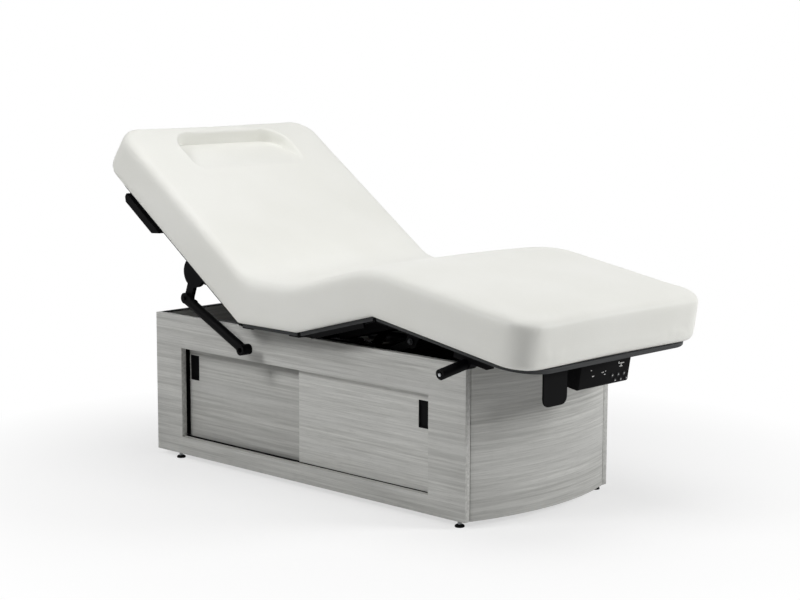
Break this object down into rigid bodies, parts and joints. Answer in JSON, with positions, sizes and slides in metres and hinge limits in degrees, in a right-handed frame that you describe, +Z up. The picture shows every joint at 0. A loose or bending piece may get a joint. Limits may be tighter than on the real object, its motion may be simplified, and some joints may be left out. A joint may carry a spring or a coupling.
{
  "type": "powered spa bed with cabinet base",
  "caption": "White padded spa bed with folding back and knee sections on a light-grey wood-grain cabinet with sliding doors, telescopic lift columns, arm carriers and foot controls.",
  "frame": {"origin": "on the floor under the middle of the bed's outline as stored", "axes": "+X from the head to the foot, +Y from the door side to the far side, +Z up"},
  "size_m": [1.7565, 0.8984, 1.0368],
  "materials": {
    "laminate": "matt light-grey wood-grain laminate",
    "black_steel": "black powder coat",
    "deck_board": "grey sealed board",
    "upholstery": "soft white synthetic leather",
    "column_metal": "anodised",
    "rod_steel": "polished",
    "black_plastic": "satin moulding",
    "key_rubber": "moulded keys",
    "bright_steel": "zinc plated"
  },
  "bodies": {
    "cabinet": {"panel_near": "laminate", "panel_far": "laminate", "panel_head": "laminate", "head_edge": "black_plastic", "panel_foot": "laminate", "bottom_board": "laminate", "levelling_feet": "black_plastic", "door_tracks": "black_plastic", "mains_inlet": "black_plastic", "columns_outer": "column_metal"},
    "front_door": {"door_front": "laminate", "pull_front": "black_plastic"},
    "rear_door": {"door_rear": "laminate", "pull_rear": "black_plastic"},
    "middle_stage": {"columns_middle": "column_metal"},
    "deck": {"columns_inner": "column_metal", "deck_rails": "black_steel", "deck_crossbars": "black_steel", "seat_board": "deck_board", "hinge_hip_fixed": "black_steel", "hinge_seat_fixed": "black_steel", "back_motor": "black_plastic", "thigh_motor": "black_plastic", "pad_seat": "upholstery", "fold_hip": "upholstery", "fold_seat": "upholstery"},
    "back_section": {"hinge_hip_moving": "black_steel", "back_board": "deck_board", "back_rails": "black_steel", "back_lever": "black_steel", "arm_brackets": "black_steel", "side_receivers": "black_plastic", "pad_back": "upholstery"},
    "thigh_section": {"hinge_seat_moving": "black_steel", "hinge_knee_fixed": "black_steel", "thigh_board": "deck_board", "thigh_rails": "black_steel", "thigh_lever": "black_steel", "pad_thigh": "upholstery", "fold_knee": "upholstery"},
    "leg_section": {"hinge_knee_moving": "black_steel", "leg_board": "deck_board", "leg_rails": "black_steel", "leg_cranks": "black_steel", "leg_sockets": "black_steel", "socket_screws": "bright_steel", "control_box": "black_plastic", "control_holster": "black_steel", "pad_leg": "upholstery"},
    "back_rod": {"back_rod": "rod_steel"},
    "thigh_rod": {"thigh_rod": "rod_steel"},
    "stays": {"leg_stays": "black_steel"},
    "near_arm": {"arm_near": "black_steel"},
    "far_arm": {"arm_far": "black_steel"},
    "key_1": {"key_1": "key_rubber"},
    "key_2": {"key_2": "key_rubber"},
    "key_3": {"key_3": "key_rubber"},
    "key_4": {"key_4": "key_rubber"},
    "key_5": {"key_5": "key_rubber"},
    "key_6": {"key_6": "key_rubber"}
  },
  "joints": [
    {"name": "lift_upper", "type": "slide", "parent": "middle_stage", "child": "deck", "axis": [0, 0, 1], "range_m": [0, 0.14]},
    {"name": "lift_lower", "type": "slide", "parent": "cabinet", "child": "middle_stage", "axis": [0, 0, 1], "range_m": [0, 0.14]},
    {"name": "front_door_slide", "type": "slide", "parent": "cabinet", "child": "front_door", "axis": [-1, 0, 0], "range_m": [0, 0.549]},
    {"name": "rear_door_slide", "type": "slide", "parent": "cabinet", "child": "rear_door", "axis": [1, 0, 0], "range_m": [0, 0.549]},
    {"name": "back_hinge", "type": "hinge", "parent": "deck", "child": "back_section", "pos_m": [-0.2432, 0, 0.4795], "axis": [0, 1, 0], "range_deg": [-35.3, 39.7], "deforming": ["fold_hip"]},
    {"name": "thigh_hinge", "type": "hinge", "parent": "deck", "child": "thigh_section", "pos_m": [0.0068, 0, 0.4795], "axis": [0, -1, 0], "range_deg": [-14.9, 10.1], "deforming": ["fold_seat"]},
    {"name": "knee_hinge", "type": "hinge", "parent": "thigh_section", "child": "leg_section", "pos_m": [0.31314, 0, 0.56101], "axis": [0, 1, 0], "range_deg": [-24.51, 16.62], "deforming": ["fold_knee"]},
    {"name": "stay_pivot", "type": "hinge", "parent": "deck", "child": "stays", "pos_m": [0.0543, 0, 0.35677], "axis": [0, -1, 0], "range_deg": [-14.83, 10.07]},
    {"name": "back_rod_slide", "type": "slide", "parent": "deck", "child": "back_rod", "axis": [-1, 0, 0], "range_m": [-0.04797, 0.05394]},
    {"name": "thigh_rod_slide", "type": "slide", "parent": "deck", "child": "thigh_rod", "axis": [1, 0, 0], "range_m": [-0.01858, 0.01263]},
    {"name": "near_arm_pivot", "type": "hinge", "parent": "back_section", "child": "near_arm", "pos_m": [-0.5109, -0.372, 0.53058], "axis": [0, 1, 0], "range_deg": [-5, 50]},
    {"name": "far_arm_pivot", "type": "hinge", "parent": "back_section", "child": "far_arm", "pos_m": [-0.5109, 0.372, 0.53058], "axis": [0, 1, 0], "range_deg": [-5, 50]},
    {"name": "key_1_press", "type": "slide", "parent": "leg_section", "child": "key_1", "axis": [-0.986, 0, 0.1668], "range_m": [0, 0.0015], "stiffness_N_per_m": 800, "springref_m": -0.001},
    {"name": "key_2_press", "type": "slide", "parent": "leg_section", "child": "key_2", "axis": [-0.986, 0, 0.1668], "range_m": [0, 0.0015], "stiffness_N_per_m": 800, "springref_m": -0.001},
    {"name": "key_3_press", "type": "slide", "parent": "leg_section", "child": "key_3", "axis": [-0.986, 0, 0.1668], "range_m": [0, 0.0015], "stiffness_N_per_m": 800, "springref_m": -0.001},
    {"name": "key_4_press", "type": "slide", "parent": "leg_section", "child": "key_4", "axis": [-0.986, 0, 0.1668], "range_m": [0, 0.0015], "stiffness_N_per_m": 800, "springref_m": -0.001},
    {"name": "key_5_press", "type": "slide", "parent": "leg_section", "child": "key_5", "axis": [-0.986, 0, 0.1668], "range_m": [0, 0.0015], "stiffness_N_per_m": 800, "springref_m": -0.001},
    {"name": "key_6_press", "type": "slide", "parent": "leg_section", "child": "key_6", "axis": [-0.986, 0, 0.1668], "range_m": [0, 0.0015], "stiffness_N_per_m": 800, "springref_m": -0.001}
  ],
  "couplings": [
    {"joint": "lift_lower", "follows": "lift_upper", "ratio": 1},
    {"joint": "knee_hinge", "follows": "thigh_hinge", "ratio": 1.6443},
    {"joint": "stay_pivot", "follows": "thigh_hinge", "ratio": 0.99171},
    {"joint": "back_rod_slide", "follows": "back_hinge", "m_per_rad": 0.0777},
    {"joint": "thigh_rod_slide", "follows": "thigh_hinge", "m_per_rad": 0.07105}
  ]
}
